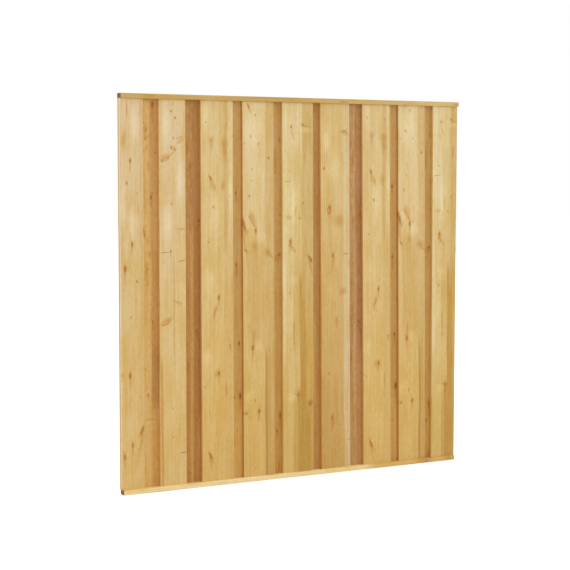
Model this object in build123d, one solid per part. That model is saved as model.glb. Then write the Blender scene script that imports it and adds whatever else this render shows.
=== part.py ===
"""Closeboard fence panel, 1.8 m square.

Nine front boards stand a little apart, and eight back boards close the gaps between them from
behind. A narrow strip behind each outer edge makes the panel's two ends as deep as both layers.
All of these uprights butt against a top and a bottom rail, and three battens cross the back. Wire
nails with T heads go through every lap of two uprights into the battens, and through the rails
into the boards' ends. The strips are held by the lap nails alone.

Millimetres. X runs along the panel, the face looks along -Y and Z is up. The origin is the middle
of the bottom rail's underside.
"""

import os
from dataclasses import dataclass

from build123d import *

# Whole panel
panel_width = 1800
panel_height = 1800

# Rails and battens are cut from one planed section
section_thin = 22
section_wide = 42
section_arris = 2.5
bottom_rail_inset = 4

# Boards. The lean is how far a board's foot stands to the right of its head.
board_thickness = 15
board_arris = 1.8
front_widths = (111, 130, 163, 163, 165, 159, 156, 156, 141)
front_gaps = (76, 77, 50, 46, 43, 74, 47, 43)
front_leans = (0, 1, 5, 9, 10, 17, 20, 19)
last_board_left_lean = 9
back_width = 160
edge_strip_width = 45

# Battens across the back, by the height of their middles, and how far they stop from each end
batten_heights = {"lower": 300, "middle": 900, "upper": 1500}
batten_inset = 15

# Wire nails with T heads: the wire's section, the head across and deep, and the chisel point
nail_length = 50
nail_width = 1.6
nail_thickness = 1.4
nail_head_width = 3.2
nail_head_depth = 1.2
nail_point_length = 3
rail_nail_from_edge = 30

# Layers, front to back
rail_back = section_wide / 2
back_layer_front = rail_back - board_thickness
front_layer_front = back_layer_front - board_thickness

# Heights of the boards' ends
board_foot = section_thin
board_head = panel_height - section_thin
board_length = board_head - board_foot
mid_height = panel_height / 2

batten_end = panel_width / 2 - batten_inset


@dataclass
class Upright:
    """A board or strip on end: its two long edges at mid height, and how far each one leans."""

    left: float
    right: float
    left_lean: float
    right_lean: float
    front: float

    def left_at(self, z):
        return self.left - self.left_lean * (z - mid_height) / board_length

    def right_at(self, z):
        return self.right - self.right_lean * (z - mid_height) / board_length

    def solid(self):
        """The board cut level at head and foot, with its four long arrises eased."""
        outline = Polyline(
            (self.left_at(board_foot), board_foot),
            (self.right_at(board_foot), board_foot),
            (self.right_at(board_head), board_head),
            (self.left_at(board_head), board_head),
            close=True,
        )
        back = Plane.XZ.offset(-(self.front + board_thickness))
        plank = extrude(back * make_face(outline), amount=board_thickness)
        arrises = plank.edges().filter_by(lambda edge: edge.length >= board_length)
        return fillet(arrises, board_arris)

    def end_nail_xs(self, z):
        """Where the rails' nails enter the end at z: two in a front board, one in a back board."""
        left, right = self.left_at(z), self.right_at(z)
        if self.front == back_layer_front:
            return [(left + right) / 2]
        return [left + rail_nail_from_edge, right - rail_nail_from_edge]


def front_boards():
    """The front layer, set out from the left end. The last board is ripped to a taper."""
    boards = []
    left = -panel_width / 2
    gaps = (*front_gaps, 0)
    leans = [(lean, lean) for lean in front_leans] + [(last_board_left_lean, 0)]
    for width, gap, (left_lean, right_lean) in zip(front_widths, gaps, leans):
        boards.append(Upright(left, left + width, left_lean, right_lean, front_layer_front))
        left += width + gap
    return boards


def back_boards(fronts):
    """The back layer: one board centred behind each gap, leaning as the gap does."""
    boards = []
    for before, after in zip(fronts, fronts[1:]):
        middle = (before.right + after.left) / 2
        lean = (before.right_lean + after.left_lean) / 2
        left, right = middle - back_width / 2, middle + back_width / 2
        boards.append(Upright(left, right, lean, lean, back_layer_front))
    return boards


def edge_strips():
    """The narrow uprights at the two ends of the back layer."""
    end = panel_width / 2
    left = Upright(-end, edge_strip_width - end, 0, 0, back_layer_front)
    right = Upright(end - edge_strip_width, end, 0, 0, back_layer_front)
    return [left, right]


def bar(length, thickness_y, thickness_z):
    """A planed bar along X, centred on the origin, with its four long arrises eased."""
    blank = Box(length, thickness_y, thickness_z)
    return fillet(blank.edges().filter_by(Axis.X), section_arris)


def nail():
    """A wire nail pointing down -Z with the top of its head at the origin, flat in XZ."""
    head, shank = nail_head_width / 2, nail_width / 2
    outline = Polyline(
        (-head, 0),
        (-head, -nail_head_depth),
        (-shank, -nail_head_depth),
        (-shank, -nail_length + nail_point_length),
        (0, -nail_length),
        (shank, -nail_length + nail_point_length),
        (shank, -nail_head_depth),
        (head, -nail_head_depth),
        (head, 0),
        close=True,
    )
    return extrude(Plane.XZ * make_face(outline), amount=nail_thickness / 2, both=True)


def rail_nails(boards):
    """The nails down through the top rail and up through the bottom rail, into the boards' ends."""
    down, up = [], []
    for board in boards:
        y = board.front + board_thickness / 2
        down += [Pos(x, y, panel_height) * nail() for x in board.end_nail_xs(board_head)]
        up += [Pos(x, y, 0) * Rot(X=180) * nail() for x in board.end_nail_xs(board_foot)]
    return down, up


def lap_nails(fronts, rears, height):
    """One nail at every lap of two uprights, through the middle of what the batten covers of it."""
    into_batten = Pos(0, front_layer_front, height) * Rot(X=90) * Rot(Z=90)
    nails = []
    for front in fronts:
        for rear in rears:
            left = max(front.left_at(height), rear.left_at(height), -batten_end)
            right = min(front.right_at(height), rear.right_at(height), batten_end)
            if left < right:
                nails.append(Pos((left + right) / 2, 0, 0) * into_batten * nail())
    return nails


def driven(wood, nails):
    """The wood with a slot for each nail that enters it."""
    box = wood.bounding_box()
    return wood - [one for one in nails if box.overlaps(one.bounding_box())]


fronts = front_boards()
backs = back_boards(fronts)
strips = edge_strips()
top_nails, bottom_nails = rail_nails(fronts + backs)
batten_nails = {
    name: lap_nails(fronts, backs + strips, height) for name, height in batten_heights.items()
}
every_nail = top_nails + bottom_nails + sum(batten_nails.values(), [])

wood = {f"front_board_{i}": board.solid() for i, board in enumerate(fronts, 1)}
wood |= {f"back_board_{i}": board.solid() for i, board in enumerate(backs, 1)}
wood |= {f"{end}_edge_strip": strip.solid() for end, strip in zip(("left", "right"), strips)}

rail_middle = section_thin / 2
bottom_length = panel_width - 2 * bottom_rail_inset
wood["top_rail"] = Pos(0, 0, panel_height - rail_middle) * bar(panel_width, section_wide, section_thin)
wood["bottom_rail"] = Pos(0, 0, rail_middle) * bar(bottom_length, section_wide, section_thin)

batten_y = rail_back + section_thin / 2
for name, height in batten_heights.items():
    batten = bar(2 * batten_end, section_thin, section_wide)
    wood[f"{name}_batten"] = Pos(0, batten_y, height) * batten

parts = {name: driven(solid, every_nail) for name, solid in wood.items()}
parts["top_rail_nails"] = Compound(children=top_nails)
parts["bottom_rail_nails"] = Compound(children=bottom_nails)
parts |= {f"{name}_batten_nails": Compound(children=nails) for name, nails in batten_nails.items()}

os.makedirs("parts", exist_ok=True)
for name, shape in parts.items():
    export_step(shape, f"parts/{name}.step")
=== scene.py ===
"""The looks of a closeboard fence panel: softwood boards, rails and battens, and wire nails."""

from dataclasses import dataclass, replace
from math import cos, radians, sin

import bpy
import numpy as np
from mathutils import Matrix, Vector


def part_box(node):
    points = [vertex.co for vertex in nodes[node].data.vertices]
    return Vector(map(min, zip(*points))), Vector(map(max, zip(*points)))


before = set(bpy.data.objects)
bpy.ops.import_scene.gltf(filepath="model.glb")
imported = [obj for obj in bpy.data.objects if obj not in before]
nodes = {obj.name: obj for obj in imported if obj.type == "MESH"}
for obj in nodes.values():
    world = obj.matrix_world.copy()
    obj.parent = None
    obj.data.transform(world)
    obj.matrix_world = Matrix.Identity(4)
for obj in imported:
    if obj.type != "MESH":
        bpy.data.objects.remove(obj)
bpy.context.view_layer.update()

bl_info = {
    "name": "Closeboard fence panel",
    "version": (1, 0, 0),
    "blender": (4, 5, 0),
    "location": "3D View > Sidebar > Fence panel",
    "description": "Finishes the boards, rails, battens and nails of a closeboard fence panel",
    "category": "Material",
}

MILLIMETRES = 1000

# The photograph's square frame and its camera's focal length, both in pixels, and a sensor in mm
PHOTO_WIDTH = 570
FOCAL_LENGTH = 1464
SENSOR = 36

# The last three boards of each layer are marked like the boards four places to their left, only
# drawn out along the grain from this height. These are the first of them.
TWIN_HEIGHT = 620
TWIN_STRETCH = 1.036
FIRST_FRONT_TWIN = 7
FIRST_BACK_TWIN = 6

# Between which heights, or places along a rail or batten, the tone goes over from foot to head
BOARD_TONES = (100, 1700)
TOP_RAIL_TONES = (380, 760)
BOTTOM_RAIL_TONES = (320, 460)
BATTEN_TONES = (-800, 800)

# Every piece of wood has a seed of its own. A front board's is its number, and the others' are
# counted on from these. One step of the seed moves the noises by this much.
BACK_SEED, RAIL_SEED, BATTEN_SEED, STRIP_SEED = 20, 40, 50, 60
SEED_STEP = (313.0, 171.0, 737.0)

# Each batten's marks are slid to the left by this much, so that the three differ
BATTEN_SLIDES = {"lower_batten": 0, "middle_batten": 310, "upper_batten": -240}

# The noises in the wood: features per mm across, in depth and along the grain, and the detail.
# Each noise lies about the middle of 0 and 1.
SWAY = ((0.011, 0.011, 0.0022), 1.0)
RAGGED = ((0.11, 0.11, 0.07), 2.0)
FIBRE = ((0.75, 0.75, 0.009), 3.0)
STREAK = ((0.085, 0.085, 0.0011), 3.0)
BLOTCH = ((0.016, 0.016, 0.006), 3.0)
MOTTLE = ((0.09, 0.09, 0.045), 3.0)
MIDDLE = 0.5

# How far in mm the first noise bends the grain, how much of that a crack follows, and how far the
# second one frays the outline of a mark
SWAY_REACH = (22, 22, 0)
CRACK_SWAY = (0.3, 0, 0)
RAGGED_REACH = (7, 0, 10)

# The depth of plain wood's tone, and how much each noise and each year's late wood darken it. At
# depth 0 a tone is multiplied by the light shade, and at 1 by the dark one.
PLAIN = 0.45
STREAK_DEPTH, DECADE_DEPTH, FIBRE_DEPTH, BLOTCH_DEPTH = 1.3, 2.0, 0.6, 1.7
USUAL_LATE = 0.35
LIGHT_SHADE = (1.05, 1.09, 1.26, 1)
DARK_SHADE = (0.95, 0.87, 0.62, 1)

# How many years a knot or a pin knot pushes the rings on, where the late wood of a year begins and
# ends, and how fast the tones of many years change with a year and a mm along
KNOT_YEARS, PIN_YEARS = 2.4, 0.8
LATE_RISE, LATE_DROP = (0.25, 0.93), (1.0, 0.94)
DECADE_YEARS, DECADE_ALONG = 0.8, 0.004

# Heights in the relief, whose unit is the look's own
LATE_HEIGHT, FIBRE_HEIGHT, KNOT_HEIGHT, PIN_DIP, CRACK_DIP = 0.35, 0.5, 0.8, 0.8, 2.5

# The planed surface, and the zinc of the nails
ROUGH, WOOD_SHINE = 0.66, 0.35
NAIL_CLOUD = ((900, 900, 900), 3.0)
NAIL_DULL = (0.62, 0.62, 0.64, 1)

# Round a mark: where a tone begins and where it is full, in times the distance of its outline. A
# wing is darkest along a line just inside its outline, and a knot has rings about its heart.
KNOT_BEND, PIN_BEND = (4.2, 0.6), (3.5, 0.8)
KNOT_HALO, KNOT_BODY, KNOT_RIM = (2.2, 1.0), (1.15, 0.78), (0.7, 0.98)
PIN_HALO, PIN_CORE = (2.4, 0.8), (1.2, 0.6)
WING_HALO, WING_MIDDLE, WING_OUTLINE = (1.5, 0.5), 0.85, (0.34, 0.06)
KNOT_RINGS = 2.6
STAIN_STEP, CRACK_STEP = (1.5, 0.1), (1.1, 0.5)

# How much of the tone under it each tone hides
SIDE_COVER, REAR_COVER = 0.9, 0.8
WING_HALO_COVER, KNOT_HALO_COVER, PIN_HALO_COVER = 0.4, 0.5, 0.45
KNOT_COVER, RINGS_COVER, RIM_COVER = 0.85, 0.6, 0.5
PIN_COVER, DEAD_PIN_COVER, CRACK_COVER = 0.7, 0.6, 0.8

# In mm: how far a streak shifts the edge of a band, how soft the band's edges are, outwards and
# inwards, and from where a board's left side takes its tone of painted light and shade, and a
# back board's back its plainer tone without the gaps' painted shade
BAND_WAVE = 14
BAND_ACROSS = (4, 3)
BAND_ALONG = (90, 30)
SIDE_STEP = (1.7, 0.3)
REAR_STEP = (8, 19)

# How far from its end a rail's or batten's end grain begins and is full, in mm
END_STEP = (0.4, 0.2)

# The lamps' softness, where the one behind the panel stands, and the light that makes the floor
# white for the camera
KEY_SOFTNESS = radians(12)
BACK_TURN, BACK_HEIGHT, BACK_SOFTNESS = radians(205), radians(30), radians(20)
FLOOR_GLOW = (0.47, 0.48, 0.54, 1)

# A mark reaches this deep in mm, right through the wood. Without marks the nearest is far away.
ENDLESS = 1e6
FAR_AWAY = 100.0


def colour(red, green, blue):
    """A display colour, 0 to 255 in each channel, as the linear colour that shaders use."""
    shown = np.array((red, green, blue)) / 255
    linear = np.where(shown > 0.04045, ((shown + 0.055) / 1.055) ** 2.4, shown / 12.92)
    return (*linear.tolist(), 1.0)


@dataclass
class Log:
    """How a piece was sawn: its pith beside the piece and behind it, the drift of the pith towards
    the face per metre of height, and the width of a year's ring, all in mm."""

    across: float
    behind: float
    drift: float
    ring: float


@dataclass
class Mark:
    """An oval mark on the face, in mm: its middle across and up, its size, its turn in degrees
    clockwise from upright, and how deep it lies under the face, in half its own size."""

    across: float
    up: float
    wide: float
    high: float
    turn: float = 0
    buried: float = 0


@dataclass
class Band:
    """A stretch of the face in another tone, in mm from the left edge and from the ground."""

    left: float
    right: float
    low: float
    high: float
    tone: tuple
    amount: float


@dataclass
class Plank:
    """One piece of wood: its tone at head and foot and its log, the tone of its left side, its back
    and its knots where that is their own, how mottled it is, and its marks. The left side's tone
    holds painted shade, and a back board's head and foot hold the painted shade of the gaps."""

    head: tuple
    foot: tuple
    log: Log
    side: tuple = None
    rear: tuple = None
    heart: tuple = None
    mottle: float = 1.3
    knots: tuple = ()
    wings: tuple = ()
    pins: tuple = ()
    dead_pins: tuple = ()
    stains: tuple = ()
    glints: tuple = ()
    cracks: tuple = ()
    bands: tuple = ()


# Front boards. Across is from the board's own left edge, up is from the ground. A side tone is
# the left side's: painted shade and reddish bounced light where that side faces into a gap, and
# paler on the first board's outer side.

first_front = Plank(
    head=colour(222, 192, 140),
    foot=colour(219, 184, 115),
    log=Log(-70, 75, 10, 4),
    side=colour(236, 212, 164),
    knots=(
        Mark(48, 1502, 8, 20, 5), Mark(55, 1130, 10, 24), Mark(20, 1020, 12, 30),
        Mark(42, 540, 10, 28), Mark(97, 285, 14, 50, 22, 0.5), Mark(52, 223, 9, 24),
        Mark(14, 172, 11, 32, -10, 0.6),
    ),
    pins=(
        Mark(80, 1357, 5, 7), Mark(45, 430, 5, 8), Mark(48, 802, 6, 8), Mark(77, 963, 9, 11),
        Mark(31, 1402, 7, 16, -15), Mark(86, 1290, 2.5, 40), Mark(108, 1190, 3, 30),
        Mark(80, 203, 4, 6), Mark(33, 1725, 3, 50),
    ),
    dead_pins=(Mark(93, 440, 4, 6),),
    stains=(
        Mark(18, 1595, 24, 100, 8), Mark(33, 1725, 9, 110), Mark(12, 170, 20, 60),
        # The last of these darkens the board's left side at its foot, next to the bottom rail.
        Mark(6, 544, 14, 30), Mark(46, 1470, 9, 40), Mark(0, 22, 16, 34),
    ),
    glints=(Mark(70, 1660, 40, 160), Mark(14, 1300, 20, 200), Mark(60, 1230, 50, 120)),
    bands=(
        Band(92, 111, 0, 1800, colour(208, 168, 100), 0.45),
        Band(-6, 92, 620, 1040, colour(216, 183, 114), 0.6),
    ),
)

second_front = Plank(
    head=colour(223, 195, 143),
    foot=colour(221, 187, 118),
    log=Log(210, 70, 12, 5),
    side=colour(234, 191, 116),
    knots=(Mark(55, 1094, 7, 14, 0, 0.5),),
    wings=(
        Mark(30, 1508, 15, 44, 66), Mark(50, 1524, 8, 20, 60), Mark(30, 768, 14, 48, 68),
        Mark(36, 775, 7, 40, 58),
    ),
    pins=(
        Mark(79, 1695, 7, 9), Mark(71, 1605, 6, 9), Mark(60, 1562, 7, 13, -10),
        Mark(78, 1553, 7, 11, 15), Mark(61, 1308, 6, 8), Mark(63, 245, 6, 7), Mark(61, 377, 5, 5),
        Mark(78, 326, 4, 5), Mark(68, 1757, 4, 8), Mark(60, 1725, 7, 8), Mark(68, 1538, 5, 8),
    ),
    stains=(
        Mark(104, 1606, 44, 16, -14), Mark(104, 1590, 50, 14, -30), Mark(102, 1195, 54, 12),
        Mark(88, 862, 50, 12, 20), Mark(30, 1520, 60, 26, -20), Mark(36, 782, 60, 26, -20),
        Mark(72, 1558, 26, 26),
    ),
    cracks=(
        Mark(28, 1090, 2.6, 54, 90), Mark(108, 1050, 3, 46, 83), Mark(70, 855, 1.4, 650),
        Mark(114, 168, 4, 42, 81), Mark(32, 763, 1.5, 44, 74),
    ),
    glints=(Mark(30, 1660, 40, 200), Mark(100, 1420, 40, 200), Mark(40, 1220, 50, 160)),
    bands=(
        Band(72, 130, 20, 1190, colour(222, 188, 122), 0.5),
        Band(6, 15, 0, 560, colour(198, 144, 70), 0.8),
    ),
)

third_front = Plank(
    head=colour(222, 193, 132),
    foot=colour(220, 183, 107),
    log=Log(-80, 70, 10, 5),
    side=colour(219, 165, 92),
    knots=(
        Mark(48, 1424, 8, 24, -22), Mark(88, 875, 11, 22, 8), Mark(87, 523, 10, 22),
        Mark(43, 140, 10, 36, -25), Mark(119, 1585, 24, 34, 0, 1.2), Mark(53, 1594, 14, 22, 0, 1.2),
    ),
    wings=(Mark(70, 815, 9, 36, 20),),
    pins=(
        Mark(27, 1678, 5, 7), Mark(129, 1670, 5, 9), Mark(36, 1132, 6, 7), Mark(70, 328, 4, 4),
        Mark(72, 244, 4, 4), Mark(62, 1293, 7, 12, -30), Mark(129, 1545, 4, 6),
        Mark(145, 1340, 4, 5), Mark(66, 785, 3, 8), Mark(74, 772, 3, 6), Mark(70, 752, 3, 6),
    ),
    dead_pins=(Mark(143, 652, 5, 12, -40),),
    stains=(
        Mark(53, 1596, 22, 34), Mark(119, 1585, 34, 46), Mark(64, 1386, 20, 66, -28),
        Mark(70, 812, 20, 80, 14), Mark(123, 440, 12, 70), Mark(112, 1390, 26, 60),
        Mark(80, 520, 40, 40), Mark(50, 118, 22, 50, -25), Mark(146, 640, 16, 30),
    ),
    cracks=(Mark(14, 465, 2, 24, -55),),
    glints=(
        Mark(24, 1700, 40, 140), Mark(74, 1280, 60, 200), Mark(40, 960, 60, 120),
        Mark(150, 1360, 20, 160), Mark(30, 600, 50, 80),
    ),
    bands=(
        Band(138, 163, 1150, 1800, colour(228, 205, 150), 0.6),
        Band(116, 163, 0, 1150, colour(210, 172, 102), 0.45),
        Band(112, 132, 1150, 1800, colour(204, 162, 92), 0.5),
    ),
)

fourth_front = Plank(
    head=colour(226, 199, 142),
    foot=colour(217, 180, 102),
    log=Log(-90, 65, 10, 5),
    side=colour(198, 139, 70),
    knots=(
        Mark(68, 1180, 10, 26, 5), Mark(49, 632, 12, 28), Mark(81, 330, 11, 22, 10),
        Mark(6, 1208, 14, 66, -14, 0.5),
    ),
    wings=(Mark(48, 1224, 10, 60, -32), Mark(140, 1066, 9, 44, -46)),
    pins=(
        Mark(68, 1715, 6, 8), Mark(43, 1618, 7, 10), Mark(11, 1583, 5, 5), Mark(84, 1583, 6, 6),
        Mark(69, 1064, 5, 5), Mark(138, 615, 5, 6), Mark(61, 59, 5, 6), Mark(31, 1757, 7, 20, -25),
        Mark(33, 1340, 6, 14, -20), Mark(60, 383, 6, 14), Mark(50, 1465, 5, 6),
        Mark(45, 1413, 5, 5), Mark(135, 1517, 9, 9), Mark(16, 1090, 8, 22, -35),
    ),
    dead_pins=(Mark(35, 383, 4, 6), Mark(33, 302, 4, 5), Mark(16, 322, 12, 5, 10)),
    stains=(
        Mark(16, 1176, 36, 34), Mark(50, 1240, 30, 70, -25), Mark(135, 1517, 16, 12),
        Mark(53, 670, 16, 90), Mark(18, 1080, 12, 34, -40), Mark(10, 325, 34, 24),
        Mark(128, 1078, 44, 50, -46), Mark(82, 330, 18, 26), Mark(36, 1745, 14, 50, -28),
        Mark(64, 1110, 26, 60),
    ),
    glints=(
        Mark(60, 1640, 90, 160), Mark(90, 1150, 60, 60), Mark(30, 400, 60, 60),
        Mark(80, 640, 50, 60),
    ),
    bands=(
        Band(118, 130, 0, 600, colour(184, 136, 64), 0.85),
        Band(130, 163, 0, 600, colour(198, 156, 82), 0.7),
        Band(118, 163, 640, 1800, colour(207, 170, 102), 0.6),
        Band(148, 163, 100, 1700, colour(214, 176, 108), 0.5),
        Band(24, 116, 660, 1100, colour(209, 170, 98), 0.6),
    ),
)

fifth_front = Plank(
    head=colour(226, 202, 145),
    foot=colour(215, 181, 105),
    log=Log(240, 80, 10, 5),
    side=colour(232, 192, 110),
    knots=(
        Mark(41, 1125, 9, 26, 10, 0.6), Mark(149, 1040, 13, 38, -30), Mark(82, 393, 11, 20),
    ),
    wings=(Mark(42, 1120, 16, 36, 12), Mark(58, 1088, 10, 34, -30)),
    pins=(
        Mark(37, 1455, 6, 6), Mark(93, 917, 5, 5), Mark(60, 732, 4, 4), Mark(97, 432, 4, 5),
        Mark(66, 400, 12, 5, 20),
    ),
    dead_pins=(
        Mark(48, 1664, 7, 14, -8), Mark(109, 1675, 8, 14), Mark(111, 1305, 6, 7),
        Mark(92, 1235, 6, 11), Mark(37, 882, 7, 8), Mark(63, 640, 6, 6),
    ),
    stains=(
        Mark(128, 1668, 40, 9, 6), Mark(55, 1626, 9, 60, -24), Mark(44, 1110, 24, 60),
        Mark(149, 350, 30, 34), Mark(84, 395, 30, 40), Mark(72, 1275, 8, 60, 6),
        Mark(60, 700, 12, 120), Mark(36, 1240, 30, 20), Mark(120, 1520, 12, 60),
    ),
    cracks=(
        Mark(26, 1408, 1.4, 50, 90), Mark(146, 346, 2.4, 30, 70), Mark(148, 356, 2, 26, 105),
        Mark(140, 345, 2, 22, 12), Mark(150, 340, 2, 20),
    ),
    glints=(
        Mark(124, 1650, 60, 30), Mark(60, 940, 50, 60), Mark(50, 380, 60, 50),
        Mark(60, 1300, 60, 200), Mark(40, 760, 40, 200),
    ),
    bands=(
        Band(0, 20, 600, 1800, colour(230, 211, 156), 0.7),
        Band(77, 152, 0, 380, colour(190, 146, 62), 0.9),
        Band(91, 124, 360, 960, colour(192, 146, 58), 0.9),
        Band(58, 80, 0, 330, colour(200, 158, 78), 0.7),
        Band(60, 92, 640, 1060, colour(210, 174, 98), 0.7),
        Band(122, 165, 340, 900, colour(205, 163, 80), 0.8),
        Band(102, 165, 900, 1800, colour(206, 171, 100), 0.75),
        Band(56, 102, 1000, 1520, colour(216, 184, 112), 0.6),
        Band(150, 165, 0, 380, colour(204, 162, 88), 0.8),
    ),
)

sixth_front = Plank(
    head=colour(219, 187, 121),
    foot=colour(205, 163, 88),
    log=Log(-60, 140, -10, 4.5),
    side=colour(222, 170, 98),
    knots=(
        Mark(48, 1282, 10, 24), Mark(66, 1055, 10, 24, 0, 0.3), Mark(59, 270, 12, 28, 10),
        Mark(86, 745, 14, 20, 10, 1.3),
    ),
    wings=(Mark(46, 1272, 22, 36),),
    pins=(
        Mark(138, 1061, 5, 6), Mark(141, 1640, 6, 8), Mark(41, 485, 9, 10, -30),
        Mark(34, 815, 5, 7), Mark(130, 1648, 26, 7, -18), Mark(104, 230, 6, 7),
    ),
    dead_pins=(Mark(18, 1470, 6, 8, -30),),
    stains=(
        Mark(18, 1470, 20, 18), Mark(130, 1640, 50, 26, 20), Mark(86, 745, 20, 30),
        Mark(48, 1270, 20, 60), Mark(66, 1030, 18, 70), Mark(59, 250, 26, 60),
        Mark(100, 1220, 60, 60), Mark(120, 880, 50, 40),
    ),
    cracks=(Mark(138, 1060, 2.2, 44, 88), Mark(152, 155, 2.2, 26, 92)),
    glints=(Mark(70, 1480, 70, 160), Mark(60, 900, 50, 120), Mark(30, 1600, 40, 120)),
    bands=(
        Band(124, 162, 0, 1800, colour(222, 197, 150), 0.7),
        Band(0, 96, 0, 420, colour(194, 149, 76), 0.25),
    ),
)

front_planks = (
    first_front, second_front, third_front, fourth_front, fifth_front,
    sixth_front, third_front, fourth_front, fifth_front,
)

# Back boards. They show only in the gaps, so their marks are there. Their head and foot tones are
# darker, redder wood with the painted shade of the gaps in them, and a rear tone, where given, is
# the plainer tone of their back face.

first_back = Plank(
    head=colour(214, 168, 100),
    foot=colour(210, 159, 82),
    log=Log(220, 46, 14, 4.5),
    rear=colour(214, 174, 104),
    heart=colour(172, 108, 56),
    mottle=2.4,
    knots=(
        Mark(93, 1752, 15, 40, 0, 0.6), Mark(84, 1338, 12, 22, 12, 0.5), Mark(89, 775, 5, 16),
        Mark(64, 444, 6, 10),
    ),
    pins=(
        Mark(68, 1015, 7, 10), Mark(69, 950, 7, 9), Mark(60, 1602, 8, 16), Mark(62, 1640, 6, 20),
    ),
    dead_pins=(
        Mark(50, 1673, 5, 6), Mark(51, 1548, 5, 5), Mark(107, 1537, 7, 7), Mark(89, 1357, 7, 8),
        Mark(91, 98, 5, 5), Mark(71, 830, 5, 5), Mark(53, 562, 5, 5), Mark(51, 1170, 5, 12),
        Mark(74, 1612, 4, 8),
    ),
    stains=(
        Mark(51, 1180, 16, 60), Mark(60, 1000, 18, 160), Mark(58, 1640, 20, 60),
        Mark(44, 1700, 10, 40), Mark(66, 1560, 14, 30), Mark(72, 1480, 12, 60),
        Mark(48, 1440, 10, 30), Mark(70, 1140, 14, 40), Mark(76, 1080, 12, 36),
    ),
    cracks=(Mark(76, 330, 1.6, 70, 90),),
    glints=(Mark(46, 1630, 8, 30), Mark(54, 1520, 8, 26), Mark(60, 1060, 9, 40)),
    bands=(
        Band(36, 78, 0, 1800, colour(214, 176, 102), 0.8),
        Band(80, 124, 700, 1800, colour(200, 144, 82), 0.6),
        Band(88, 124, 1130, 1420, colour(208, 160, 92), 0.8),
        Band(84, 124, 420, 640, colour(184, 128, 64), 0.8),
    ),
)

second_back = Plank(
    head=colour(184, 134, 71),
    foot=colour(181, 127, 58),
    log=Log(-50, 44, -14, 4),
    rear=colour(206, 160, 94),
    heart=colour(160, 98, 46),
    mottle=3.4,
    knots=(Mark(112, 1230, 13, 22, 35), Mark(105, 722, 7, 34, -38), Mark(50, 680, 6, 14, 0, 0.6)),
    pins=(Mark(64, 1748, 5, 6), Mark(88, 705, 6, 14), Mark(50, 1290, 6, 12)),
    dead_pins=(Mark(57, 72, 6, 30), Mark(113, 620, 4, 16), Mark(56, 690, 3, 8)),
    stains=(
        Mark(105, 720, 16, 50, -35), Mark(58, 1560, 10, 60), Mark(70, 1480, 14, 60),
        Mark(110, 1230, 24, 34), Mark(62, 1250, 10, 30), Mark(72, 1200, 12, 30),
        Mark(60, 900, 8, 60), Mark(86, 1640, 10, 80), Mark(70, 1700, 8, 40), Mark(58, 560, 8, 50),
    ),
    glints=(
        Mark(58, 1730, 14, 50), Mark(62, 1660, 12, 60), Mark(76, 1610, 12, 50),
        Mark(66, 1405, 14, 40), Mark(74, 1362, 16, 44), Mark(60, 1335, 14, 36),
        Mark(70, 1292, 16, 44), Mark(62, 1236, 14, 40), Mark(58, 1180, 12, 44),
        Mark(84, 1450, 12, 60), Mark(64, 1520, 12, 50),
    ),
    bands=(
        Band(70, 85, 0, 1250, colour(202, 152, 80), 0.7),
        Band(88, 124, 420, 1300, colour(178, 122, 64), 0.6),
        Band(100, 124, 0, 300, colour(198, 144, 76), 0.7),
        Band(60, 88, 1220, 1420, colour(176, 122, 66), 0.6),
    ),
)

third_back = Plank(
    head=colour(209, 167, 98),
    foot=colour(212, 166, 88),
    log=Log(-80, 60, 14, 4),
    heart=colour(164, 98, 40),
    mottle=1.8,
    knots=(
        Mark(78, 1355, 9, 22), Mark(78, 1023, 8, 20), Mark(90, 655, 8, 20), Mark(95, 405, 11, 30),
    ),
    pins=(Mark(90, 1640, 6, 9), Mark(86, 1500, 4, 6), Mark(80, 240, 5, 8)),
    dead_pins=(Mark(64, 1618, 5, 7), Mark(64, 402, 6, 14), Mark(72, 300, 4, 5)),
    stains=(Mark(66, 1220, 7, 46), Mark(80, 1000, 14, 80), Mark(95, 400, 20, 60)),
    bands=(
        Band(96, 124, 0, 1800, colour(219, 174, 96), 0.7),
        Band(46, 84, 420, 1800, colour(201, 157, 87), 0.7),
        Band(84, 124, 0, 280, colour(226, 180, 94), 0.7),
    ),
)

fourth_back = Plank(
    head=colour(203, 161, 95),
    foot=colour(205, 158, 83),
    log=Log(230, 60, -14, 4),
    heart=colour(164, 98, 40),
    mottle=1.8,
    knots=(Mark(90, 1064, 7, 26, 50, 0.4), Mark(94, 300, 8, 40), Mark(77, 225, 8, 16)),
    wings=(Mark(82, 1052, 12, 44, 52),),
    pins=(Mark(70, 1450, 5, 14), Mark(98, 1250, 6, 10), Mark(96, 1600, 5, 30)),
    dead_pins=(
        Mark(79, 1665, 5, 5), Mark(54, 1625, 4, 5), Mark(72, 1545, 4, 6), Mark(72, 883, 5, 8),
        Mark(85, 35, 7, 12),
    ),
    stains=(
        Mark(94, 280, 16, 110), Mark(84, 1055, 24, 50, 52), Mark(88, 60, 14, 50),
        Mark(72, 1500, 20, 120),
    ),
)

fifth_back = Plank(
    head=colour(195, 146, 80),
    foot=colour(195, 144, 75),
    log=Log(-70, 50, 14, 4),
    mottle=1.8,
    knots=(Mark(68, 915, 6, 14),),
    pins=(Mark(72, 794, 4, 6), Mark(90, 1330, 5, 40)),
    dead_pins=(Mark(76, 320, 4, 6), Mark(84, 1715, 6, 10)),
    stains=(Mark(75, 1750, 14, 70), Mark(68, 900, 12, 50)),
    bands=(Band(46, 80, 360, 720, colour(208, 170, 94), 0.6),),
)

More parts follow.
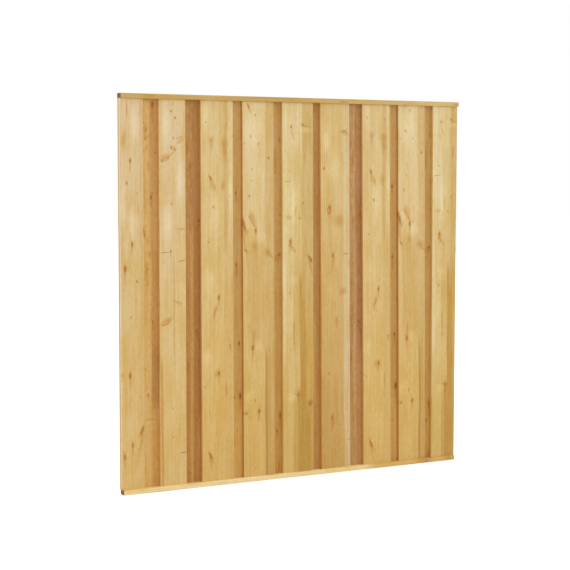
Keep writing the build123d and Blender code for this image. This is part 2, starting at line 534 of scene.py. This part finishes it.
sixth_back = replace(
    second_back,
    head=colour(186, 140, 86),
    foot=colour(186, 138, 80),
    dead_pins=(),
    bands=(
        Band(72, 84, 0, 1800, colour(200, 154, 94), 0.8),
        Band(88, 124, 620, 1300, colour(178, 126, 72), 0.6),
        Band(84, 124, 0, 560, colour(198, 148, 88), 0.7),
        Band(48, 70, 380, 760, colour(178, 130, 74), 0.8),
    ),
)

back_planks = (
    first_back, second_back, third_back, fourth_back, fifth_back,
    sixth_back, third_back, fourth_back,
)

# Rails and battens. Across is up from the underside, up is along from the middle to the right.

top_plank = Plank(
    head=colour(213, 181, 110),
    foot=colour(206, 170, 98),
    log=Log(60, 30, 6, 3.2),
    pins=(Mark(9, 884, 3, 10),),
    stains=(Mark(8, 884, 16, 30), Mark(12, -760, 10, 60), Mark(8, 240, 10, 50)),
    bands=(
        Band(-4, 26, -340, 40, colour(196, 160, 88), 0.7),
        Band(-4, 26, 700, 900, colour(214, 184, 118), 0.6),
    ),
)

bottom_plank = Plank(
    head=colour(215, 177, 98),
    foot=colour(244, 219, 159),
    log=Log(-40, 60, 10, 4),
    pins=(Mark(8, 728, 5, 20), Mark(13, 862, 6, 14)),
    stains=(Mark(12, 720, 30, 90), Mark(12, 860, 22, 60), Mark(2, -700, 5, 260)),
    bands=(
        Band(-4, 26, 160, 320, colour(240, 208, 132), 0.8),
        Band(-4, 26, 450, 620, colour(226, 188, 108), 0.7),
    ),
)

batten_plank = Plank(
    head=colour(214, 182, 122),
    foot=colour(210, 174, 110),
    log=Log(-30, 60, 12, 4),
    knots=(Mark(30, -520, 16, 22), Mark(12, 130, 14, 18), Mark(24, 610, 18, 20)),
    pins=(Mark(34, -180, 4, 6), Mark(16, 430, 5, 5)),
    stains=(Mark(30, -510, 26, 60), Mark(12, 140, 22, 50), Mark(24, 600, 30, 60)),
)

strip_plank = Plank(
    head=colour(216, 180, 120),
    foot=colour(210, 168, 98),
    log=Log(-40, 60, 10, 4),
    knots=(Mark(20, 1410, 9, 20), Mark(28, 640, 10, 22)),
    pins=(Mark(12, 980, 4, 8),),
)


class Field:
    """A node's output in an expression. Each operator adds one Math node."""

    def __init__(self, finish, socket):
        self.finish = finish
        self.socket = socket

    def math(self, operation, first, second=0.0):
        return self.finish.add("Math", {"operation": operation}, {0: first, 1: second})

    def __add__(self, other):
        return self.math("ADD", self, other)

    __radd__ = __add__

    def __sub__(self, other):
        return self.math("SUBTRACT", self, other)

    def __rsub__(self, other):
        return self.math("SUBTRACT", other, self)

    def __mul__(self, other):
        return self.math("MULTIPLY", self, other)

    __rmul__ = __mul__

    def __truediv__(self, other):
        return self.math("DIVIDE", self, other)

    def __abs__(self):
        return self.math("ABSOLUTE", self)

    def least(self, other):
        return self.math("MINIMUM", self, other)

    def most(self, other):
        return self.math("MAXIMUM", self, other)

    def fraction(self):
        return self.math("FRACT", self)


class Finish:
    """The node tree of a material or of the world, with one method that adds a node."""

    def __init__(self, owner):
        owner.use_nodes = True
        self.tree = owner.node_tree
        self.tree.nodes.clear()

    def add(self, kind, settings=None, sockets=None, output=0):
        """Adds a node of a kind, makes its settings, then gives its sockets values or links."""
        node = self.tree.nodes.new(f"ShaderNode{kind}")
        for name, value in (settings or {}).items():
            setattr(node, name, value)
        for key, value in (sockets or {}).items():
            if isinstance(value, Field):
                self.tree.links.new(value.socket, node.inputs[key])
            else:
                node.inputs[key].default_value = value
        return Field(self, node.outputs[output]) if node.outputs else None

    def vector(self, operation, first, second=(0, 0, 0), output=0):
        """The result of a Vector Math node."""
        return self.add("VectorMath", {"operation": operation}, {0: first, 1: second}, output)

    def split(self, vector):
        """The three coordinates of a vector, each as a field."""
        outputs = self.add("SeparateXYZ", None, {0: vector}).socket.node.outputs
        return [Field(self, socket) for socket in outputs]

    def millimetres(self):
        """Object coordinates in mm."""
        place = self.add("TexCoord", output="Object")
        return self.vector("MULTIPLY", place, (MILLIMETRES,) * 3)

    def smooth(self, value, start, end):
        """0 before start and 1 after end, with a smooth step between them, in either direction."""
        ends = {"Value": value, "From Min": start, "From Max": end}
        return self.add("MapRange", {"interpolation_type": "SMOOTHSTEP"}, ends)

    def between(self, value, low, high, outwards, inwards):
        """1 between low and high and 0 elsewhere, with ends that are soft in both directions."""
        off_middle = abs(value - (low + high) / 2)
        half = (high - low) / 2
        return self.smooth(off_middle, half + outwards, half - inwards)

    def blend(self, amount, first, second, mode="MIX"):
        """The first colour at amount 0, and at 1 the second, or their product."""
        settings = {"data_type": "RGBA", "blend_type": mode}
        return self.add("Mix", settings, {0: amount, 6: first, 7: second}, output=2)

    def noise(self, place, scales, detail, output="Fac"):
        """Noise about the middle of 0 and 1, with features 1 / scale long on each axis."""
        stretched = self.vector("MULTIPLY", place, scales)
        sockets = {"Vector": stretched, "Scale": 1.0, "Detail": detail}
        return self.add("TexNoise", None, sockets, output)

    def shift(self, place, noise, reach):
        """Noise as a vector that moves a place by up to half the reach to either side."""
        cloud = self.noise(place, *noise, output="Color")
        return self.vector("MULTIPLY", self.vector("SUBTRACT", cloud, (MIDDLE,) * 3), reach)

    def nearest(self, place, marks):
        """How far the nearest mark is, where 1 is its outline, and far away without marks."""
        reach = None
        for mark in marks:
            settings = {"vector_type": "TEXTURE"}
            sockets = {
                "Vector": place,
                "Location": (mark.across, -mark.buried * ENDLESS, mark.up),
                "Rotation": (0, radians(mark.turn), 0),
                "Scale": (mark.wide / 2, ENDLESS, mark.high / 2),
            }
            ratio = self.vector("LENGTH", self.add("Mapping", settings, sockets), output="Value")
            reach = ratio if reach is None else reach.least(ratio)
        return FAR_AWAY if reach is None else reach


def tail(knot):
    """The resin streak that runs down the grain from a knot."""
    up = knot.up - knot.high * 0.8
    return Mark(knot.across, up, knot.wide * 1.1, knot.high * 3, knot.turn / 2)


def straightened(finish, left, lean, stretch):
    """Object coordinates in mm, across from a board's left edge, with its lean and its stretch
    along the grain taken out."""
    x, y, z = finish.split(finish.millimetres())
    up = (z - TWIN_HEIGHT) / stretch + TWIN_HEIGHT if stretch != 1 else z
    return finish.add("CombineXYZ", None, {0: x - left + lean * z, 1: y, 2: up})


def laid_flat(finish, name, slide=0):
    """Object coordinates in mm for a piece along X: up from its underside, depth, along, with its
    marks slid to the left. With them comes 1 on the piece's sawn ends and 0 elsewhere."""
    lowest, highest = (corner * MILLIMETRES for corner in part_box(name))
    x, y, z = finish.split(finish.millimetres())
    half = (highest.x - lowest.x) / 2
    start, full = (half - inwards for inwards in END_STEP)
    end = finish.smooth(abs(x - (highest.x + lowest.x) / 2), start, full)
    return finish.add("CombineXYZ", None, {0: z - lowest.z, 1: y, 2: x + slide}), end


@dataclass
class Grain:
    """The wood at each point: where its swaying lines run in mm, the late wood of its years, its
    fibres, streaks and blotches, what changes over many years, and the shade that they all give."""

    across: Field
    depth: Field
    along: Field
    late: Field
    fibre: Field
    streak: Field
    blotch: Field
    decade: Field
    shade: Field


def grain_of(finish, swayed, wander, plank, seed, knot, pin, contrast):
    """Year rings and fibres. The rings are circles about the pith, whose distance from the surface
    changes slowly along the piece, and they bend round the knots."""
    across, depth, along = finish.split(swayed)
    log = plank.log
    from_pith = finish.add("CombineXYZ", None, {
        0: across - log.across,
        1: depth - log.behind + along * (log.drift / MILLIMETRES),
    })
    years = finish.vector("LENGTH", from_pith, output="Value") / log.ring
    years = years + finish.smooth(knot, *KNOT_BEND) * KNOT_YEARS
    years = years + finish.smooth(pin, *PIN_BEND) * PIN_YEARS
    year = years.fraction()
    late = finish.smooth(year, *LATE_RISE) * finish.smooth(year, *LATE_DROP)

    fibre = finish.noise(wander, *FIBRE)
    streak = finish.noise(wander, *STREAK)
    blotch = finish.noise(wander, *BLOTCH)
    mottle = finish.noise(wander, *MOTTLE)
    decade = finish.add("CombineXYZ", None, {
        0: years * DECADE_YEARS, 1: float(seed), 2: along * DECADE_ALONG,
    })
    decade = finish.add("TexNoise", None, {"Vector": decade, "Scale": 1.0, "Detail": 3.0})
    depth_of_tone = (
        PLAIN + (streak - MIDDLE) * STREAK_DEPTH + (decade - MIDDLE) * DECADE_DEPTH
        + (late - USUAL_LATE) * contrast + (fibre - MIDDLE) * FIBRE_DEPTH
        + (blotch - MIDDLE) * BLOTCH_DEPTH + (mottle - MIDDLE) * plank.mottle
    )
    shade = finish.blend(depth_of_tone, LIGHT_SHADE, DARK_SHADE)
    return Grain(across, depth, along, late, fibre, streak, blotch, decade, shade)


def banded(finish, tone, grain, bands):
    """The tone with its bands, whose edges follow the streaks."""
    waved = grain.across + (grain.streak - MIDDLE) * BAND_WAVE
    for band in bands:
        inside = finish.between(waved, band.left, band.right, *BAND_ACROSS)
        inside = inside * finish.between(grain.along, band.low, band.high, *BAND_ALONG)
        shaded = finish.blend(1.0, band.tone, grain.shade, "MULTIPLY")
        tone = finish.blend(inside * band.amount, tone, shaded)
    return tone


def plain_tone(finish, place, grain, plank, tones):
    """The piece's tone from foot to head, with its back, its bands, and its left side, whose tone
    holds painted shade.
    """
    tone = finish.blend(finish.smooth(grain.along, *tones), plank.foot, plank.head)
    # A back board's head and foot tones hold the painted shade of the gaps. Its back face takes the
    # plainer rear tone.
    if plank.rear:
        tone = finish.blend(finish.smooth(grain.depth, *REAR_STEP) * REAR_COVER, tone, plank.rear)
    tone = finish.blend(1.0, tone, grain.shade, "MULTIPLY")
    if plank.bands:
        tone = banded(finish, tone, grain, plank.bands)
    # Painted light and shade: the left side is darker and redder where it faces into a gap, and
    # paler on the first board's outer side.
    if plank.side:
        side_light_and_shade = finish.blend(1.0, plank.side, grain.shade, "MULTIPLY")
        across_face = finish.split(place)[0]
        tone = finish.blend(finish.smooth(across_face, *SIDE_STEP) * SIDE_COVER, tone, side_light_and_shade)
    return tone


def stained(finish, tone, grain, marked, plank, look):
    """The tone with the stains of buried branches and with glints of painted sheen, both following
    the grain.
    """
    grained = finish.smooth(grain.decade, 0.4, 0.6) * 0.7 + 0.3
    if plank.stains:
        stain = finish.nearest(marked, plank.stains + tuple(tail(each) for each in plank.knots))
        amount = finish.smooth(stain, *STAIN_STEP) * (1.2 - grained * 0.5)
        darker = finish.blend(1.0, tone, look.stain_tint, "MULTIPLY")
        tone = finish.blend(amount, tone, darker)
    # Glints are painted sheen: paler patches where the fibres turn and catch the light.
    if plank.glints:
        amount = finish.smooth(finish.nearest(marked, plank.glints), *STAIN_STEP) * grained
        painted_sheen = finish.blend(1.0, tone, look.glint_tint, "MULTIPLY")
        tone = finish.blend(amount, tone, painted_sheen)
    return tone


def winged(finish, tone, grain, wing, look):
    """The tone with the drawn-out outlines of branches that were cut along their length."""
    halo = finish.smooth(wing, *WING_HALO) * WING_HALO_COVER
    tone = finish.blend(halo, tone, look.halo_colour)
    off_outline = abs(wing - WING_MIDDLE + (grain.fibre - MIDDLE) * 0.5)
    outline = finish.smooth(off_outline, *WING_OUTLINE)
    return finish.blend(outline * (0.25 + grain.streak * 0.7), tone, look.knot_colour)


def knotted(finish, tone, relief, grain, knot, plank, look):
    """The tone and the relief with the knots: a resin-rich halo, a rim, and rings in the heart."""
    halo = finish.smooth(knot, *KNOT_HALO) * KNOT_HALO_COVER
    tone = finish.blend(halo, tone, look.halo_colour)
    rings = (knot * KNOT_RINGS + grain.blotch).fraction()
    heart = finish.blend(rings * RINGS_COVER, plank.heart or look.knot_colour, look.rim_colour)
    heart = finish.blend(finish.smooth(knot, *KNOT_RIM) * RIM_COVER, heart, look.rim_colour)
    body = finish.smooth(knot, *KNOT_BODY)
    return finish.blend(body * KNOT_COVER, tone, heart), relief + body * KNOT_HEIGHT


def pinned(finish, tone, relief, pin, pin_colour, cover, look):
    """The tone and the relief with pin knots of one colour."""
    halo = finish.smooth(pin, *PIN_HALO) * PIN_HALO_COVER
    tone = finish.blend(halo, tone, look.halo_colour)
    core = finish.smooth(pin, *PIN_CORE)
    return finish.blend(core * cover, tone, pin_colour), relief - core * PIN_DIP


def wood(finish, place, plank, seed, look, tones, end=None):
    """Planed softwood: its grain in its own tones, then its marks, and its sawn end."""
    wander = finish.vector("ADD", place, tuple(seed * step for step in SEED_STEP))
    sway = finish.shift(wander, SWAY, SWAY_REACH)
    marked = finish.vector("ADD", place, finish.shift(wander, RAGGED, RAGGED_REACH))
    knot = finish.nearest(marked, plank.knots)
    pin = finish.nearest(marked, plank.pins)

    swayed = finish.vector("ADD", place, sway)
    grain = grain_of(finish, swayed, wander, plank, seed, knot, pin, look.ring_contrast)
    relief = grain.late * LATE_HEIGHT + grain.fibre * FIBRE_HEIGHT
    tone = plain_tone(finish, place, grain, plank, tones)
    if plank.stains or plank.glints:
        tone = stained(finish, tone, grain, marked, plank, look)
    if plank.wings:
        tone = winged(finish, tone, grain, finish.nearest(marked, plank.wings), look)
    if plank.knots:
        tone, relief = knotted(finish, tone, relief, grain, knot, plank, look)
    if plank.pins:
        tone, relief = pinned(finish, tone, relief, pin, look.pin_colour, PIN_COVER, look)
    if plank.dead_pins:
        dead = finish.nearest(marked, plank.dead_pins)
        tone, relief = pinned(
            finish, tone, relief, dead, look.dead_colour, DEAD_PIN_COVER, look
        )
    if plank.cracks:
        along_grain = finish.vector("ADD", place, finish.vector("MULTIPLY", sway, CRACK_SWAY))
        split = finish.smooth(finish.nearest(along_grain, plank.cracks), *CRACK_STEP)
        tone = finish.blend(split * CRACK_COVER, tone, look.crack_colour)
        relief = relief - split * CRACK_DIP
    if end is not None:
        fibres = finish.blend(grain.late * 0.5, look.end_colour, look.rim_colour)
        tone = finish.blend(end, tone, fibres)

    sockets = {"Strength": 1.0, "Distance": look.relief, "Height": relief}
    surface = finish.add("BsdfPrincipled", None, {
        "Base Color": tone,
        "Roughness": ROUGH - grain.late * 0.1 + (grain.fibre - MIDDLE) * 0.2,
        "Normal": finish.add("Bump", None, sockets),
        "Specular IOR Level": WOOD_SHINE,
    })
    finish.add("OutputMaterial", None, {"Surface": surface})


def given(name):
    """A new material's finish, and the material on every slot of the node of that name."""
    material = bpy.data.materials.new(f"{name}_finish")
    for slot in nodes[name].material_slots:
        slot.material = material
    return Finish(material)


def left_edge(name):
    """A board's left edge at the ground in mm, and how far it leans left per mm of height, read
    from the corners at its foot and head."""
    mesh = nodes[name].data
    points = np.empty(3 * len(mesh.vertices))
    mesh.vertices.foreach_get("co", points)
    points = points.reshape(-1, 3) * MILLIMETRES
    foot, head = points[:, 2].min(), points[:, 2].max()
    at_foot = points[points[:, 2] < foot + 1, 0].min()
    at_head = points[points[:, 2] > head - 1, 0].min()
    lean = (at_foot - at_head) / (head - foot)
    return at_foot + lean * foot, lean


def tint(name, description, default):
    """A colour that a user may change."""
    return bpy.props.FloatVectorProperty(
        name=name, description=description, default=default, size=4, min=0, max=2, subtype="COLOR",
    )


def upright(name, plank, seed, look, stretch=1):
    """Finishes a board or strip on end."""
    finish = given(name)
    place = straightened(finish, *left_edge(name), stretch)
    wood(finish, place, plank, seed, look, BOARD_TONES)


def crosspiece(name, plank, seed, look, tones, slide=0):
    """Finishes a rail or batten."""
    finish = given(name)
    place, end = laid_flat(finish, name, slide)
    wood(finish, place, plank, seed, look, tones, end)


class FenceLook(bpy.types.PropertyGroup):
    """The colours and the relief that the pieces share."""

    stain_tint: tint("Stain", "Multiplies the wood near a buried branch", (0.86, 0.70, 0.46, 1))
    # Glints are painted sheen: paler patches where the fibres turn and catch the light.
    glint_tint: tint("Glint", "Multiplies the wood where its fibres turn", (1.13, 1.24, 1.5, 1))
    halo_colour: tint("Halo", "Resin-rich wood round a knot", colour(208, 152, 72))
    knot_colour: tint("Knot", "The heart of a knot", colour(190, 124, 48))
    rim_colour: tint("Knot rim", "The bark-edged rim of a knot", colour(136, 86, 34))
    pin_colour: tint("Pin knot", "A small live knot", colour(168, 112, 34))
    dead_colour: tint("Dead pin knot", "A small dead knot", colour(92, 76, 50))
    crack_colour: tint("Crack", "The inside of a drying crack", colour(96, 62, 36))
    end_colour: tint("End grain", "Sawn end grain", colour(114, 74, 34))
    nail_colour: tint("Nail", "Zinc on the wire nails", colour(150, 150, 146))
    ring_contrast: bpy.props.FloatProperty(
        name="Ring contrast", description="How dark late wood is", default=0.55, min=0, max=2,
        subtype="FACTOR",
    )
    relief: bpy.props.FloatProperty(
        name="Relief", description="Height of a knot above the planed face", default=0.0003,
        min=0, max=0.002, unit="LENGTH",
    )


class FenceStage(bpy.types.PropertyGroup):
    """The camera, the lamps and the floor."""

    camera_place: bpy.props.FloatVectorProperty(
        name="Camera", description="Where the camera stands", default=(-3.3114, -6.0881, 1.4599),
        size=3, subtype="TRANSLATION",
    )
    camera_turn: bpy.props.FloatProperty(
        name="Turn", description="How far the camera looks right of +Y", default=radians(28.051),
        subtype="ANGLE",
    )
    camera_dip: bpy.props.FloatProperty(
        name="Dip", description="How far the camera looks down", default=radians(4.473),
        subtype="ANGLE",
    )
    camera_roll: bpy.props.FloatProperty(
        name="Roll", description="How far the camera is turned about its own axis",
        default=radians(0.096), subtype="ANGLE",
    )
    key_turn: bpy.props.FloatProperty(
        name="Key turn", description="The key lamp's side, from straight in front",
        default=radians(66), subtype="ANGLE",
    )
    key_height: bpy.props.FloatProperty(
        name="Key height", description="The key lamp's height above level", default=radians(9),
        subtype="ANGLE",
    )
    key_strength: bpy.props.FloatProperty(
        name="Key", description="The key lamp's strength", default=0.85, min=0, max=20,
    )
    back_strength: bpy.props.FloatProperty(
        name="Back", description="The strength of the lamp behind the panel", default=0.6, min=0,
        max=20,
    )
    sky_strength: bpy.props.FloatProperty(
        name="Sky", description="The light from all round", default=0.87, min=0, max=2,
    )
    floor_size: bpy.props.FloatProperty(
        name="Floor", description="The side of the square floor", default=60, min=4, max=200,
        unit="LENGTH",
    )


class FENCE_OT_front_boards(bpy.types.Operator):
    """Finishes the nine front boards, each with its own grain and knots"""

    bl_idname = "fence.front_boards"
    bl_label = "Finish front boards"

    def execute(self, context):
        look = context.scene.fence_look
        for number, plank in enumerate(front_planks, 1):
            stretch = TWIN_STRETCH if number >= FIRST_FRONT_TWIN else 1
            upright(f"front_board_{number}", plank, number, look, stretch)
        return {"FINISHED"}


class FENCE_OT_back_boards(bpy.types.Operator):
    """Finishes the eight back boards"""

    bl_idname = "fence.back_boards"
    bl_label = "Finish back boards"

    def execute(self, context):
        look = context.scene.fence_look
        for number, plank in enumerate(back_planks, 1):
            stretch = TWIN_STRETCH if number >= FIRST_BACK_TWIN else 1
            upright(f"back_board_{number}", plank, BACK_SEED + number, look, stretch)
        return {"FINISHED"}


class FENCE_OT_edge_strips(bpy.types.Operator):
    """Finishes the narrow strips behind the panel's two outer edges"""

    bl_idname = "fence.edge_strips"
    bl_label = "Finish edge strips"

    def execute(self, context):
        look = context.scene.fence_look
        for seed, name in enumerate(("left_edge_strip", "right_edge_strip"), STRIP_SEED):
            upright(name, strip_plank, seed, look)
        return {"FINISHED"}


class FENCE_OT_rails(bpy.types.Operator):
    """Finishes the top and the bottom rail, with end grain on their sawn ends"""

    bl_idname = "fence.rails"
    bl_label = "Finish rails"

    def execute(self, context):
        look = context.scene.fence_look
        crosspiece("top_rail", top_plank, RAIL_SEED, look, TOP_RAIL_TONES)
        crosspiece("bottom_rail", bottom_plank, RAIL_SEED + 1, look, BOTTOM_RAIL_TONES)
        return {"FINISHED"}


class FENCE_OT_battens(bpy.types.Operator):
    """Finishes the three battens across the back"""

    bl_idname = "fence.battens"
    bl_label = "Finish battens"

    def execute(self, context):
        look = context.scene.fence_look
        for seed, (name, slide) in enumerate(BATTEN_SLIDES.items(), BATTEN_SEED):
            crosspiece(name, batten_plank, seed, look, BATTEN_TONES, slide)
        return {"FINISHED"}


class FENCE_OT_nails(bpy.types.Operator):
    """Finishes the wire nails"""

    bl_idname = "fence.nails"
    bl_label = "Finish nails"

    def execute(self, context):
        zinc = context.scene.fence_look.nail_colour
        for name in nodes:
            if not name.endswith("_nails"):
                continue
            finish = given(name)
            cloud = finish.noise(finish.add("TexCoord", output="Object"), *NAIL_CLOUD)
            dull = finish.blend(1.0, zinc, NAIL_DULL, "MULTIPLY")
            tone = finish.blend(finish.smooth(cloud, 0.35, 0.65), dull, zinc)
            surface = finish.add("BsdfPrincipled", None, {
                "Base Color": tone, "Metallic": 0.9, "Roughness": 0.3 + cloud * 0.3,
            })
            finish.add("OutputMaterial", None, {"Surface": surface})
        return {"FINISHED"}


def sun(name, turn, height, strength, softness):
    """A lamp at a turn from straight in front, towards the right, and at a height above level."""
    lamp = bpy.data.lights.new(name, "SUN")
    lamp.energy = strength
    lamp.angle = softness
    towards = Vector((sin(turn) * cos(height), -cos(turn) * cos(height), sin(height)))
    shown = bpy.data.objects.new(name, lamp)
    shown.matrix_world = towards.to_track_quat("Z", "Y").to_matrix().to_4x4()
    bpy.context.scene.collection.objects.link(shown)


def seen_directly(finish):
    """1 for a ray that comes from the camera, a mirror or a glass, and 0 for the rest."""
    rays = finish.add("LightPath").socket.node.outputs
    names = ("Is Camera Ray", "Is Glossy Ray", "Is Transmission Ray")
    camera, mirror, glass = (Field(finish, rays[name]) for name in names)
    return camera.most(mirror).most(glass)


def add_floor(scene, size):
    """A square floor that holds the shadow, and that the camera sees as white elsewhere."""
    half = size / 2
    corners = [(-half, -half, 0), (half, -half, 0), (half, half, 0), (-half, half, 0)]
    mesh = bpy.data.meshes.new("floor")
    mesh.from_pydata(corners, [], [(0, 1, 2, 3)])
    floor = bpy.data.objects.new("floor", mesh)
    scene.collection.objects.link(floor)
    material = bpy.data.materials.new("floor_finish")
    mesh.materials.append(material)
    finish = Finish(material)
    glow = finish.blend(seen_directly(finish), (0, 0, 0, 1), FLOOR_GLOW)
    surface = finish.add("BsdfPrincipled", None, {
        "Base Color": (0.8, 0.8, 0.8, 1), "Roughness": 0.9, "Specular IOR Level": 0.2,
        "Emission Color": glow, "Emission Strength": 1.0,
    })
    finish.add("OutputMaterial", None, {"Surface": surface})


def add_sky(scene, strength):
    """Even light from all round, which the camera sees as white."""
    world = bpy.data.worlds.new("sky")
    scene.world = world
    finish = Finish(world)
    shown = strength + seen_directly(finish) * (1 - strength)
    sky = finish.add("Background", None, {"Color": (1, 1, 1, 1), "Strength": shown})
    finish.add("OutputWorld", None, {"Surface": sky})


def add_camera(scene, stage):
    """The camera, turned to the right of +Y, dipped and rolled."""
    lens = bpy.data.cameras.new("camera")
    lens.sensor_width = SENSOR
    lens.lens = FOCAL_LENGTH / PHOTO_WIDTH * SENSOR
    camera = bpy.data.objects.new("camera", lens)
    look = Vector((
        sin(stage.camera_turn) * cos(stage.camera_dip),
        cos(stage.camera_turn) * cos(stage.camera_dip),
        -sin(stage.camera_dip),
    ))
    aim = look.to_track_quat("-Z", "Y").to_matrix().to_4x4()
    roll = Matrix.Rotation(stage.camera_roll, 4, "Z")
    camera.matrix_world = Matrix.Translation(stage.camera_place) @ aim @ roll
    scene.collection.objects.link(camera)
    scene.camera = camera


class FENCE_OT_stage(bpy.types.Operator):
    """Adds the floor, the sky, the lamps and the camera"""

    bl_idname = "fence.stage"
    bl_label = "Set the stage"

    def execute(self, context):
        scene = context.scene
        stage = scene.fence_stage
        add_floor(scene, stage.floor_size)
        add_sky(scene, stage.sky_strength)
        sun("key_lamp", stage.key_turn, stage.key_height, stage.key_strength, KEY_SOFTNESS)
        sun("back_lamp", BACK_TURN, BACK_HEIGHT, stage.back_strength, BACK_SOFTNESS)
        add_camera(scene, stage)
        scene.view_settings.view_transform = "Standard"
        return {"FINISHED"}


class FENCE_PT_panel(bpy.types.Panel):
    """Lists the fence panel's sizes, colours and operators"""

    bl_idname = "FENCE_PT_panel"
    bl_label = "Fence panel"
    bl_space_type = "VIEW_3D"
    bl_region_type = "UI"
    bl_category = "Fence panel"

    def draw(self, context):
        for group in (context.scene.fence_look, context.scene.fence_stage):
            box = self.layout.box()
            for name in type(group).__annotations__:
                box.prop(group, name)
        for operator in operators:
            self.layout.operator(operator.bl_idname)


operators = (
    FENCE_OT_front_boards, FENCE_OT_back_boards, FENCE_OT_edge_strips, FENCE_OT_rails,
    FENCE_OT_battens, FENCE_OT_nails, FENCE_OT_stage,
)
classes = (FenceLook, FenceStage, *operators, FENCE_PT_panel)


def register():
    for each in classes:
        bpy.utils.register_class(each)
    bpy.types.Scene.fence_look = bpy.props.PointerProperty(type=FenceLook)
    bpy.types.Scene.fence_stage = bpy.props.PointerProperty(type=FenceStage)


def unregister():
    del bpy.types.Scene.fence_stage
    del bpy.types.Scene.fence_look
    for each in reversed(classes):
        bpy.utils.unregister_class(each)


def main():
    register()
    for operator in operators:
        group, name = operator.bl_idname.split(".")
        getattr(getattr(bpy.ops, group), name)()


if __name__ == "__main__":
    main()
